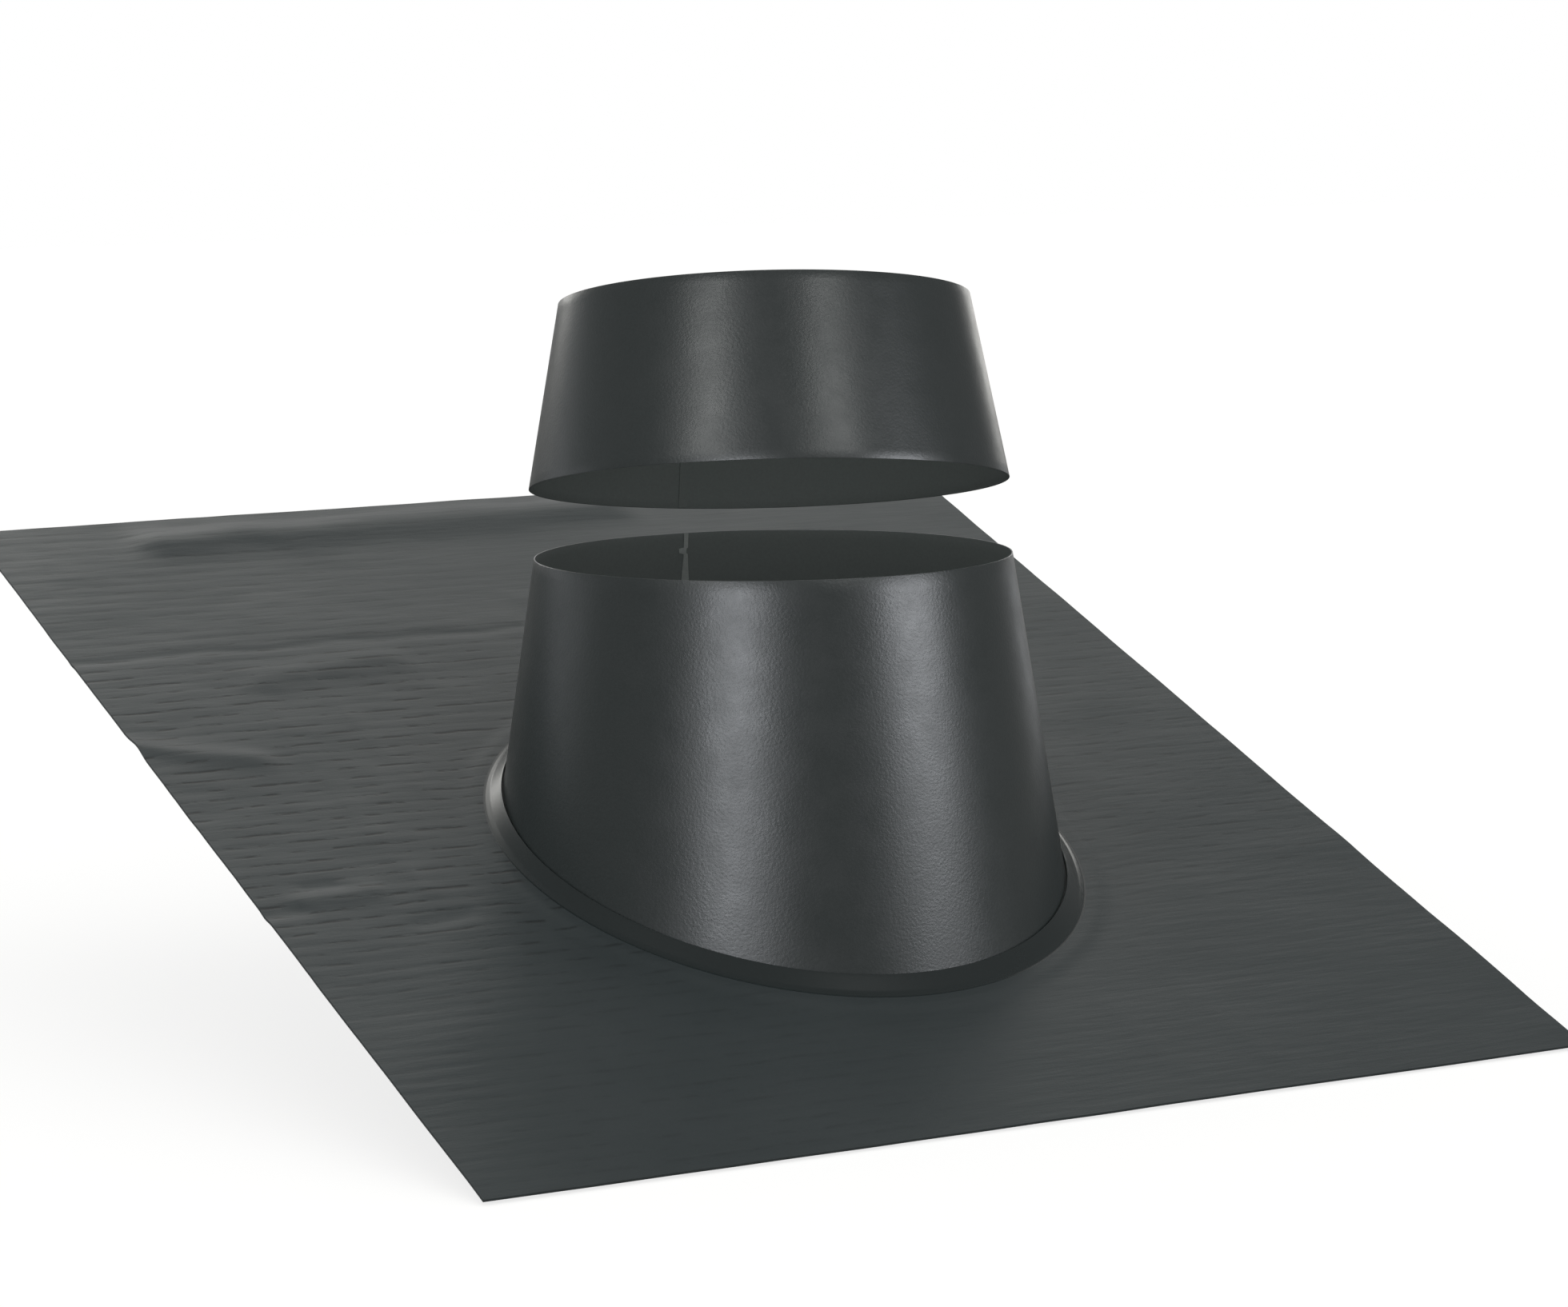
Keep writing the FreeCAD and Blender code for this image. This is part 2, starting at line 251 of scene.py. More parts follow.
# %% Sheared edge
def sheared_edge():
    material, output = new_material("thin_powder_film_over_a_sheared_zinc_edge")
    tree = material.node_tree
    place = add(tree, "ShaderNodeTexCoord").outputs["Object"]
    grain = add(tree, "ShaderNodeTexNoise", inputs={
        "Vector": place, "Scale": 1 / GRAIN, "Detail": 3.0, "Roughness": 0.6})
    tint = add(tree, "ShaderNodeMix", {"data_type": "RGBA"}, {
        "Factor": grain.outputs["Fac"], "A": colour("#858b88"), "B": colour("#9ca19f")})
    shader = add(tree, "ShaderNodeBsdfPrincipled", inputs={
        "Base Color": tint.outputs["Result"], "Roughness": 0.45, "IOR": 1.5})
    tree.links.new(shader.outputs["BSDF"], output.inputs["Surface"])
    return material


SHEARED = sheared_edge()
print("finish:", SHEARED.name)

# %% [markdown]
# ### Rubber skin of the apron
# The apron is a soft butyl and mesh sheet under a thin skin of EPDM-like rubber. It comes
# off the roll nearly matt, dark blue-green grey, with a bloom that lifts it towards grey
# where it looks at the light. The skin has the fine pebble of the release film it was
# pressed against, and the colour drifts a little over a hand's width. The valleys between
# the ribs are painted darker, as painted shade. Each valley is drawn here as a dark,
# slightly wandering line that breaks up into dashes. The painted shade is strongest on the
# left of the sheet and fades towards the right, the uphill edge and the downhill edge.

# %% Ribbed rubber
PEBBLE = 1.6 * MM     # drawn coarser than the real 0.5 mm, so that it shows
DRIFT = 90 * MM
DASH = (0.05, 0.09, 0.05)        # one dash of a valley per 20 mm across and 11 mm uphill
STREAK = (0.02, 0.14, 0.02)      # flow marks of the calender, 50 by 7 mm
SWAY, SWAY_REACH = 0.025, 3.0    # valleys wander about a millimetre in 40 mm; 3 mm at most
VALLEY = 2.5 / RIB_PITCH         # half a valley's width, as a share of the ribs' pitch


def ribbed_rubber():
    material, output = new_material("matt_epdm_rubber_skin")
    tree = material.node_tree
    place = add(tree, "ShaderNodeTexCoord").outputs["Object"]
    laid_flat = add(tree, "ShaderNodeVectorRotate", {"rotation_type": "X_AXIS"}, {
        "Vector": place, "Angle": -PITCH}).outputs["Vector"]
    in_mm = add(tree, "ShaderNodeVectorMath", {"operation": "SCALE"}, {
        0: laid_flat, "Scale": 1 / MM}).outputs["Vector"]
    axes = add(tree, "ShaderNodeSeparateXYZ", inputs={"Vector": in_mm})

    sway = add(tree, "ShaderNodeTexNoise", inputs={
        "Vector": in_mm, "Scale": SWAY, "Detail": 2.0})
    swayed = add(tree, "ShaderNodeMath", {"operation": "MULTIPLY_ADD"}, {
        0: sway.outputs["Fac"], 1: 2 * SWAY_REACH, 2: axes.outputs["Y"]})
    turn = add(tree, "ShaderNodeMath", {"operation": "MULTIPLY_ADD"}, {
        0: swayed.outputs["Value"], 1: 1 / RIB_PITCH,
        2: (APRON_DOWNHILL - SWAY_REACH) / RIB_PITCH + 100})
    from_valley = add(tree, "ShaderNodeMath", {"operation": "PINGPONG"}, {
        0: turn.outputs["Value"], 1: 0.5})
    line = add(tree, "ShaderNodeMapRange", {"interpolation_type": "SMOOTHSTEP"}, {
        "Value": from_valley.outputs["Value"], "From Min": 0.0, "From Max": VALLEY,
        "To Min": 1.0, "To Max": 0.0})
    stretched = add(tree, "ShaderNodeVectorMath", {"operation": "MULTIPLY"}, {
        0: in_mm, 1: DASH}).outputs["Vector"]
    dashes = add(tree, "ShaderNodeTexNoise", inputs={
        "Vector": stretched, "Scale": 1.0, "Detail": 3.0, "Roughness": 0.6})
    broken = add(tree, "ShaderNodeMapRange", {"interpolation_type": "SMOOTHSTEP"}, {
        "Value": dashes.outputs["Fac"], "From Min": 0.44, "From Max": 0.62,
        "To Min": 0.0, "To Max": 1.0})
    # The painted valley shade fades towards the right of the sheet.
    fades_right = add(tree, "ShaderNodeMapRange", {"interpolation_type": "SMOOTHSTEP"}, {
        "Value": axes.outputs["X"], "From Min": -180.0, "From Max": 20.0,
        "To Min": 1.0, "To Max": 0.45})
    above = add(tree, "ShaderNodeMapRange", {"interpolation_type": "SMOOTHSTEP"}, {
        "Value": axes.outputs["Y"], "From Min": 250.0, "From Max": 320.0,
        "To Min": 1.0, "To Max": 0.35})
    below = add(tree, "ShaderNodeMapRange", {"interpolation_type": "SMOOTHSTEP"}, {
        "Value": axes.outputs["Y"], "From Min": -190.0, "From Max": -20.0,
        "To Min": 0.2, "To Max": 1.0})
    valley = line.outputs["Result"]
    for share in (broken, fades_right, above, below):
        valley = add(tree, "ShaderNodeMath", {"operation": "MULTIPLY"}, {
            0: valley, 1: share.outputs["Result"]}).outputs["Value"]
    flow = add(tree, "ShaderNodeVectorMath", {"operation": "MULTIPLY"}, {
        0: in_mm, 1: STREAK}).outputs["Vector"]
    streaks = add(tree, "ShaderNodeTexNoise", inputs={
        "Vector": flow, "Scale": 1.0, "Detail": 3.0, "Roughness": 0.55})

    pebble = add(tree, "ShaderNodeTexNoise", inputs={
        "Vector": place, "Scale": 1 / PEBBLE, "Detail": 4.0, "Roughness": 0.6})
    drift = add(tree, "ShaderNodeTexNoise", inputs={
        "Vector": place, "Scale": 1 / DRIFT, "Detail": 3.0, "Roughness": 0.5})
    tint = add(tree, "ShaderNodeMix", {"data_type": "RGBA"}, {
        "Factor": drift.outputs["Fac"], "A": colour("#343b3c"), "B": colour("#3b4243")})
    # Painted shade: the valleys are mixed towards a dark colour.
    tint = add(tree, "ShaderNodeMix", {"data_type": "RGBA"}, {
        "Factor": valley, "A": tint.outputs["Result"], "B": colour("#202525")})
    rough = add(tree, "ShaderNodeMapRange", inputs={
        "Value": drift.outputs["Fac"], "From Min": 0.3, "From Max": 0.7,
        "To Min": 0.4, "To Max": 0.47})
    height = add(tree, "ShaderNodeMath", {"operation": "MULTIPLY_ADD"}, {
        0: streaks.outputs["Fac"], 1: 6.0, 2: pebble.outputs["Fac"]})
    height = add(tree, "ShaderNodeMath", {"operation": "MULTIPLY_ADD"}, {
        0: valley, 1: -2.5, 2: height.outputs["Value"]})
    bump = add(tree, "ShaderNodeBump", inputs={
        "Height": height.outputs["Value"], "Strength": 0.5, "Distance": 0.1 * MM})
    shader = add(tree, "ShaderNodeBsdfPrincipled", inputs={
        "Base Color": tint.outputs["Result"], "Roughness": rough.outputs["Result"],
        "Normal": bump.outputs["Normal"], "IOR": 1.5})
    tree.links.new(shader.outputs["BSDF"], output.inputs["Surface"])
    return material


RUBBER = ribbed_rubber()
print("finish:", RUBBER.name)

# %% [markdown]
# ### Pressed band
# Where the press stretches the sheet up round the cone, the ribs are gone and the skin is
# tighter: smoother and without bloom. Its colour is painted darker than the sheet's, as
# painted shade on the band. Its bends catch thin bright lines.

# %% Pressed rubber
def pressed_rubber_with_painted_shade():
    material, output = new_material("stretched_rubber_skin_painted_darker_as_shade")
    tree = material.node_tree
    place = add(tree, "ShaderNodeTexCoord").outputs["Object"]
    pebble = add(tree, "ShaderNodeTexNoise", inputs={
        "Vector": place, "Scale": 1 / PEBBLE, "Detail": 4.0, "Roughness": 0.6})
    # Painted shade: the band's colour is set darker than the sheet's.
    tint = add(tree, "ShaderNodeMix", {"data_type": "RGBA"}, {
        "Factor": pebble.outputs["Fac"], "A": colour("#202727"), "B": colour("#262d2d")})
    bump = add(tree, "ShaderNodeBump", inputs={
        "Height": pebble.outputs["Fac"], "Strength": 0.3, "Distance": 0.05 * MM})
    shader = add(tree, "ShaderNodeBsdfPrincipled", inputs={
        "Base Color": tint.outputs["Result"], "Roughness": 0.26,
        "Normal": bump.outputs["Normal"], "IOR": 1.5})
    tree.links.new(shader.outputs["BSDF"], output.inputs["Surface"])
    return material


PRESSED_AND_SHADED = pressed_rubber_with_painted_shade()
print("finish:", PRESSED_AND_SHADED.name)

# %% [markdown]
# ### Butyl sealant
# The bead under the band is butyl, pressed in by hand: nearly black, tacky, with small
# dimples. Little of it can be seen, but it closes the gap.

# %% Butyl
DIMPLE = 3 * MM


def butyl():
    material, output = new_material("black_butyl_sealant")
    tree = material.node_tree
    place = add(tree, "ShaderNodeTexCoord").outputs["Object"]
    dimple = add(tree, "ShaderNodeTexNoise", inputs={
        "Vector": place, "Scale": 1 / DIMPLE, "Detail": 2.0})
    tint = add(tree, "ShaderNodeMix", {"data_type": "RGBA"}, {
        "Factor": dimple.outputs["Fac"], "A": colour("#161717"), "B": colour("#1f2121")})
    bump = add(tree, "ShaderNodeBump", inputs={
        "Height": dimple.outputs["Fac"], "Strength": 0.5, "Distance": 0.3 * MM})
    shader = add(tree, "ShaderNodeBsdfPrincipled", inputs={
        "Base Color": tint.outputs["Result"], "Roughness": 0.45,
        "Normal": bump.outputs["Normal"]})
    tree.links.new(shader.outputs["BSDF"], output.inputs["Surface"])
    return material


BUTYL = butyl()
print("finish:", BUTYL.name)

# %% [markdown]
# ## Building meshes
# Two small helpers turn points into objects. Every piece here is either a sheet, or a strip
# of closed loops that run round the flue, so the second helper joins loops into faces.

# %% Mesh helpers
def make_piece(name, points, faces, materials, stands_for=(), inside=()):
    """A smooth-shaded mesh object that rides on the one body of this model.

    Faces numbered in INSIDE take the second material.
    """
    mesh = bpy.data.meshes.new(name)
    mesh.from_pydata([tuple(p) for p in points], [], [tuple(f) for f in faces])
    for material in materials:
        mesh.materials.append(material)
    for face in inside:
        mesh.polygons[face].material_index = 1
    mesh.shade_smooth()
    mesh.set_sharp_from_angle(angle=math.radians(50))
    piece = bpy.data.objects.new(name, mesh)
    bpy.context.collection.objects.link(piece)
    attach(piece, "root")
    if stands_for:
        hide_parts(*stands_for)
    print(f"{name}: {len(mesh.vertices)} points, {len(mesh.polygons)} faces")
    return piece


def joined_loops(first, loops, closed=False):
    """Faces between loops of AROUND points each, numbered from FIRST on."""
    count = loops if closed else loops - 1
    faces = []
    for row in range(count):
        here, there = first + row * AROUND, first + (row + 1) % loops * AROUND
        for i in range(AROUND):
            j = (i + 1) % AROUND
            faces.append((here + i, here + j, there + j, there + i))
    return faces

# %% [markdown]
# ## The apron
# The real sheet is rolled out, cut, holed and pressed up round the cone's foot. It never
# lies quite flat: the roll leaves long shallow waves, folding it for its box leaves a
# crease across it, and thumbs leave dents. Its ribs are low arches; the valleys between
# them are too narrow for the mesh and are drawn by the rubber's material, as painted shade
# and a bump.
#
# The surface is worked out as a height at each point of a fine grid. Blender's Delaunay
# triangulation joins the grid to the oval hole, and loops carry the sheet up the band,
# over its cut edge and down inside.

# %% Ribs, waves and creases
# One crease or fold a line: from (x, s) to (x, s) in mm, its width and its height in mm.
FOLDS = [
    ((-353, 291), (-40, 293), 8.0, -0.6),       # box fold across the uphill half
    ((-238, 250), (-152, 264), 25.0, 1.7),      # pulled by hand when it was unfolded
    ((-353, 174), (-288, 146), 20.0, 2.2),
    ((-254, 240), (-250, -30), 10.0, 0.35),     # long waves that the roll left
    ((-209, 240), (-200, 90), 9.0, 0.3),
    ((90, -100), (100, -310), 14.0, 0.25),
    ((150, -100), (160, -310), 14.0, 0.25),
    ((-325, -26), (-281, -22), 16.0, 1.3),      # thumb dents by the side edge
    ((-353, -38), (-330, -36), 10.0, -1.0),
    ((-317, -11), (-300, -10), 9.0, -0.7),
    ((-269, -62), (-233, -58), 10.0, -0.6),
    ((-230, 452), (100, 462), 34.0, 4.2),       # uphill edge curls over
    ((-20, 330), (60, 336), 20.0, 0.6),
]


def smooth_step(x):
    x = np.clip(x, 0, 1)
    return x * x * (3 - 2 * x)


def noise_over(x, s, size, seed):
    """Smooth noise from about -1 to 1, SIZE mm from hill to hill (a pair gives x and s)."""
    wide, long = size if isinstance(size, tuple) else (size, size)
    return np.array([noise.noise(Vector((a / wide, b / long, seed))) for a, b in zip(x, s)])


def folds(x, s):
    """Height of the hand-laid folds, each a soft ridge or groove that fades at its ends."""
    height = np.zeros_like(x)
    wander = 4 * noise_over(x, s, 50, 6.0)
    for (ax, ay), (bx, by), width, rise in FOLDS:
        length = math.hypot(bx - ax, by - ay)
        along = ((x - ax) * (bx - ax) + (s - ay) * (by - ay)) / length
        aside = ((x - ax) * (by - ay) - (s - ay) * (bx - ax)) / length + wander
        fade = smooth_step(along / width + 1) * smooth_step((length - along) / width + 1)
        height += rise * fade * np.exp(-(aside / (width * 0.6)) ** 2)
    return height


def waves(x, s):
    """Height that the whole sheet has over a flat roof, in mm."""
    calm = smooth_step((distance_from_oval(x, s, STEP_TOP) - 14) / 60)
    loose = 0.8 * noise_over(x, s, (170, 90), 4.0) + 0.3 * noise_over(x, s, (60, 34), 9.0)
    crumpled = smooth_step((60 - x) / 260) * smooth_step((s + 200) / 200)
    loose += crumpled * 0.22 * noise_over(x, s, (26, 15), 12.0)
    return calm * np.maximum(0.0, 0.9 + loose + folds(x, s))


def ribs(x, s):
    """Low arches across the roof; the sharp valley between them is in the material, as painted shade."""
    turn = (s + APRON_DOWNHILL) / RIB_PITCH
    from_crest = 2 * np.abs(turn - np.floor(turn) - 0.5)
    keep = smooth_step((distance_from_oval(x, s, STEP_TOP) - 20) / 30)
    fades_right = (0.3 + 0.7 * smooth_step((20 - x) / 200)) * (0.6 + 0.7 * noise_over(x, s, (45, 25), 3.0))
    return keep * fades_right * RIB_HEIGHT * (0.35 - 0.35 * from_crest ** 2)


def top_height(x, s):
    step = smooth_step((STEP_REACH + STEP_SPREAD - distance_from_oval(x, s, 0)) / STEP_SPREAD)
    return SHEET + OVER_FLANGE * step + ribs(x, s) + waves(x, s)

# %% The flat of the sheet
LEFT, RIGHT = APRON_MIDDLE - APRON_WIDTH / 2, APRON_MIDDLE + APRON_WIDTH / 2


def flat_sheet(step_x, step_s, hole, rings=()):
    """Points (x, s) and triangles of the cut sheet: outline, the hole's loop, then the rest.

    Rings are more loops outside the hole, for the step over the flange's edge.
    """
    # The outline has a point every 6 mm across and every sixth of a rib along.
    wide = np.linspace(LEFT, RIGHT, 121)
    long = np.linspace(-APRON_DOWNHILL, APRON_UPHILL, 428)
    rim = np.array([(x, -APRON_DOWNHILL) for x in wide[:-1]] + [(RIGHT, s) for s in long[:-1]]
                   + [(x, APRON_UPHILL) for x in wide[:0:-1]] + [(LEFT, s) for s in long[:0:-1]])
    inner_x = np.arange(LEFT + step_x, RIGHT - 1, step_x)
    inner_s = np.arange(-APRON_DOWNHILL + step_s, APRON_UPHILL - 1, step_s)
    grid = np.stack(np.meshgrid(inner_x, inner_s), axis=-1).reshape(-1, 2)
    height = hole[0, 2]
    away = distance_from_oval(grid[:, 0], grid[:, 1], height)
    edge = distance_from_oval(hole[:1, 0], hole[:1, 1], height)[0]
    grid = grid[away > edge + (rings[-1] + 2.0 if rings else 1.2)]
    around = [oval(height, TURN, edge + ring)[:, :2] for ring in rings]
    points = np.vstack([rim, hole[:, :2], *around, grid])
    outline = [(i, (i + 1) % len(rim)) for i in range(len(rim))]
    round_hole = [(len(rim) + i, len(rim) + (i + 1) % AROUND) for i in range(AROUND)]
    made = geometry.delaunay_2d_cdt([Vector(p) for p in points], outline + round_hole, [], 0, 1e-6)
    points = np.array([tuple(p) for p in made[0]])
    triangles = [t for t in made[2]
                 if distance_from_oval(*points[list(t)].mean(axis=0)[:, None], height)[0] > edge]
    return points, triangles, len(rim)

# %% The whole sheet
def apron():
    hole_top = oval(STEP_TOP, TURN, outset=12.5)
    rings = (1.5, 3.0, 4.5, 6.0, 7.5, 9.0, 11.0)
    top, top_faces, rim = flat_sheet(6.0, RIB_PITCH / 6, hole_top, rings)
    top = np.column_stack([top, top_height(top[:, 0], top[:, 1])])
    hole_low = oval(0, TURN, outset=FLANGE + CLEAR)
    low, low_faces, _ = flat_sheet(18.0, 18.0, hole_low)
    low = np.column_stack([low, waves(low[:, 0], low[:, 1])])

    # Section of the band from the flat up to the lip, round the cut edge and back down:
    # (height over the roof, outset from the cone), in mm.
    foot_reach = LIP_REACH + LIP_HEIGHT - STEP_TOP
    bend = 1.6
    section = [(STEP_TOP, foot_reach + 2.5), (STEP_TOP, foot_reach + bend)]
    for part in (0.25, 0.5, 0.75):
        blend = part * bend
        section.append((STEP_TOP + blend ** 2 / (2 * bend), foot_reach + bend * (1 - part)))
    for part in np.linspace(0.1, 0.96, 7):
        rise = part * (LIP_HEIGHT - STEP_TOP)
        section.append((STEP_TOP + rise, foot_reach - rise))
    corner = SHEET / math.sqrt(2)
    section += [(LIP_HEIGHT, LIP_REACH - 0.05), (LIP_HEIGHT - 0.1, LIP_REACH - 0.3),
                (LIP_HEIGHT - corner + 0.05, LIP_GAP + 0.05), (LIP_HEIGHT - corner - 0.3, LIP_GAP + 0.25)]
    inside = LIP_HEIGHT - corner - OVER_FLANGE
    section += [(OVER_FLANGE, LIP_GAP + inside), (OVER_FLANGE, FLANGE + CLEAR)]
    band = np.vstack([oval(height, TURN, reach) for height, reach in section])

    points = np.vstack([on_roof(top), on_roof(band), on_roof(low)])
    first_band, first_low = len(top), len(top) + len(band)
    faces = list(top_faces) + joined_loops(first_band, len(section))
    band_faces = range(len(top_faces), len(faces))
    for i in range(AROUND):
        j = (i + 1) % AROUND
        faces.append((rim + i, rim + j, first_band + j, first_band + i))
        last = first_band + (len(section) - 1) * AROUND
        faces.append((last + i, last + j, first_low + rim + j, first_low + rim + i))
    for i in range(rim):
        j = (i + 1) % rim
        faces.append((i, first_low + i, first_low + j, j))
    faces += [tuple(first_low + k for k in reversed(t)) for t in low_faces]
    return make_piece("apron_sheet", points, faces, [RUBBER, PRESSED_AND_SHADED],
                      ["apron"], band_faces)


apron()

# %% [markdown]
# ## The cone
# The real cone is a flat steel blank, rolled up and lapped, with its foot cut at the
# pitch of the roof and flanged outward. One closed section is carried round it: up the
# outside, over the thin rim with its softened edges, down the inside and out along the
# flange. The section's points move along the cone's straight generators, so the wall is a
# true cone at every height.

# %% Cone wall
EDGE = 0.2      # how far the powder coat rounds a sheared edge


def wall_at(height, wall_offset=0.0):
    """The loop on the cone at this height over the roof, WALL_OFFSET inside its outer face."""
    reach = CONE_FOOT - wall_offset - height * TAPER / math.cos(PITCH)
    radius = reach / (1 + LEAN * np.sin(TURN))
    y = radius * np.sin(TURN)
    return np.stack([radius * np.cos(TURN), y,
                     (height + y * math.sin(PITCH)) / math.cos(PITCH)], axis=1) * MM


def rim_at(z, inset=0.0):
    """The level loop at this height on the flue, INSET inside the cone's outer face."""
    radius = CONE_RIM + (CONE_HEIGHT - z) * TAPER - inset
    return np.stack([radius * np.cos(TURN), radius * np.sin(TURN), np.full(AROUND, z)], axis=1) * MM


def flange_at(height, outset):
    """The flange's loop, its points set beside the wall's points."""
    x, s = np.cos(TURN), np.sin(TURN)
    start = wall_at(0.0) / MM
    along_s = start[:, 1] * math.cos(PITCH) + start[:, 2] * math.sin(PITCH)
    right, top, left, bottom = oval(0.0, np.radians([0.0, 90.0, 180.0, 270.0]))
    turn = np.arctan2((along_s - (top[1] + bottom[1]) / 2) / ((top[1] - bottom[1]) / 2),
                      start[:, 0] / ((right[0] - left[0]) / 2))
    return on_roof(oval(height, turn, outset))


def between(lower, upper, parts):
    """Loops that divide the straight generators between two loops."""
    return [lower + (upper - lower) * part for part in parts]


def cone():
    rim = [rim_at(CONE_HEIGHT - EDGE), rim_at(CONE_HEIGHT - EDGE / 4, EDGE / 4),
           rim_at(CONE_HEIGHT, EDGE), rim_at(CONE_HEIGHT, WALL - EDGE),
           rim_at(CONE_HEIGHT - EDGE / 4, WALL - EDGE / 4), rim_at(CONE_HEIGHT - EDGE, WALL)]
    steps = np.linspace(0, 1, 26)[1:-1]
    outside = between(wall_at(WALL + 1.0), rim[0], steps)
    inside = between(rim[-1], wall_at(0.3, WALL), steps)
    loops = ([flange_at(0.0, FLANGE - EDGE), flange_at(EDGE, FLANGE), flange_at(WALL - EDGE, FLANGE),
              flange_at(WALL, FLANGE - EDGE), flange_at(WALL, 1.0), flange_at(WALL + 0.3, 0.3)]
             + [wall_at(WALL + 1.0)] + outside + rim + inside
             + [wall_at(0.3, WALL), wall_at(0.0, WALL - 0.3)])
    points = np.vstack(loops)
    faces = joined_loops(0, len(loops), closed=True)
    first_inside = (7 + len(outside) + len(rim) - 1) * AROUND
    inner = range(first_inside, first_inside + (len(inside) + 1) * AROUND)
    return make_piece("cone_shell", points, faces, [POWDER_COAT, INSIDE_PAINTED_LIGHTER],
                      ["cone"], inner)


cone()

# %% [markdown]
# The blank's ends lap by a few millimetres at the back of the flue. Inside, the cut end
# stands proud as a thin pale line that widens downwards, with a notch where the roller let
# go of it just below the rim.

# %% Lap seam inside the cone
LAP_TURN = math.radians(84.0)
LAP_SLOPE = math.sin(LAP_TURN) * math.tan(PITCH)     # how fast the roof rises under the lap
LAP_FOOT = CONE_FOOT * LAP_SLOPE / (1 + TAPER * LAP_SLOPE)
LAP_LENGTH = CONE_HEIGHT - LAP_FOOT - 1
print(f"the lap runs {LAP_LENGTH:.0f} mm down from the rim")


def lap_strip(rows, wall):
    """A cut end that stands proud inside a wall; a row holds its height and its two sides."""
    points, faces = [], []
    for z, left, right in rows:
        for aside, proud in ((left, -0.1), (left, 0.5), (right, 0.7), (right, -0.1)):
            turn = LAP_TURN - aside / wall(z)
            radius = wall(z) - proud
            points.append((radius * math.cos(turn), radius * math.sin(turn), z))
    for row in range(len(rows) - 1):
        for k in range(4):
            a, b = 4 * row + k, 4 * row + (k + 1) % 4
            faces.append((a, b, b + 4, a + 4))
    last = 4 * (len(rows) - 1)
    faces += [(3, 2, 1, 0), (last, last + 1, last + 2, last + 3)]
    return np.array(points), faces


def cone_lap():
    # (depth below the rim, left side, right side) in mm
    sides = [(0.3, -1.5, 1.5), (4, -1.3, 1.4), (9.5, -1.2, 1.5), (10.2, -4.6, 0.6), (13.0, -4.2, 0.5),
             (13.8, -1.2, 1.5), (30, -2.0, 2.9), (70, -2.4, 3.8), (LAP_LENGTH, -2.6, 4.3)]
    points, faces = lap_strip([(CONE_HEIGHT - depth, left, right) for depth, left, right in sides],
                              lambda z: CONE_RIM + (CONE_HEIGHT - z) * TAPER - WALL)
    return make_piece("cone_lap", points * MM, faces, [SHEARED])


cone_lap()

# %% [markdown]
# ## The storm collar
# The same rolled steel, as a shorter cone that closes on the flue at the top and covers
# the cone's rim with its skirt. It is built upright and then leaned back about the point
# where its own axis meets its skirt.

# %% Collar wall
def collar_radius(z):
    """The outer face's radius at this height on the collar's own axis."""
    return COLLAR_SKIRT - (COLLAR_SKIRT - COLLAR_TOP) / COLLAR_HEIGHT * z


def leaned_back(points):
    """Points of the upright collar, leaned back and lifted off the cone."""
    axis = Vector((-math.sin(COLLAR_LEAN), math.cos(COLLAR_LEAN), 0))
    turn = np.array(Matrix.Rotation(COLLAR_TILT, 3, axis))
    lift = [COLLAR_SHIFT * math.cos(COLLAR_LEAN), COLLAR_SHIFT * math.sin(COLLAR_LEAN),
            CONE_HEIGHT + COLLAR_LIFT]
    return (points @ turn.T + lift) * MM


def collar():
    def ring(z, inset=0.0):
        radius = collar_radius(z) - inset
        return np.stack([radius * np.cos(TURN), radius * np.sin(TURN), np.full(AROUND, z)], axis=1)

    top = [ring(COLLAR_HEIGHT - EDGE), ring(COLLAR_HEIGHT - EDGE / 4, EDGE / 4),
           ring(COLLAR_HEIGHT, EDGE), ring(COLLAR_HEIGHT, WALL - EDGE),
           ring(COLLAR_HEIGHT - EDGE / 4, WALL - EDGE / 4), ring(COLLAR_HEIGHT - EDGE, WALL)]
    bottom = [ring(EDGE, WALL), ring(EDGE / 4, WALL - EDGE / 4), ring(0, WALL - EDGE),
              ring(0, EDGE), ring(EDGE / 4, EDGE / 4), ring(EDGE)]
    steps = np.linspace(0, 1, 20)[1:-1]
    loops = (between(bottom[-1], top[0], steps) + top
             + between(top[-1], bottom[0], steps) + bottom)
    points = leaned_back(np.vstack(loops))
    faces = joined_loops(0, len(loops), closed=True)
    first_inside = (len(steps) + len(top) - 1) * AROUND
    inner = range(first_inside, first_inside + (len(steps) + 1) * AROUND)
    return make_piece("collar_shell", points, faces, [POWDER_COAT, INSIDE_PAINTED_LIGHTER],
                      ["storm_collar"], inner)


collar()

# %% [markdown]
# The collar's blank laps too. Its cut end is rolled down flat, so the drifting powder
# covers it like the rest of the wall and it hardly shows.

# %% Lap seam inside the collar
def collar_lap():
    points, faces = lap_strip([(COLLAR_HEIGHT - 0.5, -3, 3), (0.5, -3, 3)],
                              lambda z: collar_radius(z) - WALL)
    return make_piece("collar_lap", leaned_back(points), faces, [INSIDE_PAINTED_LIGHTER])


collar_lap()

# %% [markdown]
# ## The sealing bead
# The bead's solid is already right, so it keeps its mesh and only gets its finish.

# %% Bead
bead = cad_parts["sealing_bead"]
bead.data.materials.clear()
bead.data.materials.append(BUTYL)
print("sealing_bead:", bead.data.materials[0].name)

# %% [markdown]
# ## The studio
# Matt surfaces take one even light from all round, so a colour renders about as it is
# written. The lamps are seen in reflections only. In front, a low pair draws the stripes
# that the cone mirrors and a high pair those of the collar, which is leaned back. Wide
# boxes over the back give the sheet its bloom, and the cone stands in their way in front.
# Small boxes at the sides and behind draw the bright rims.
#
# The floor and the world are white to the camera. In reflections they are white straight
# behind the boot and a dim room elsewhere, as a white sheet hung behind it would be.

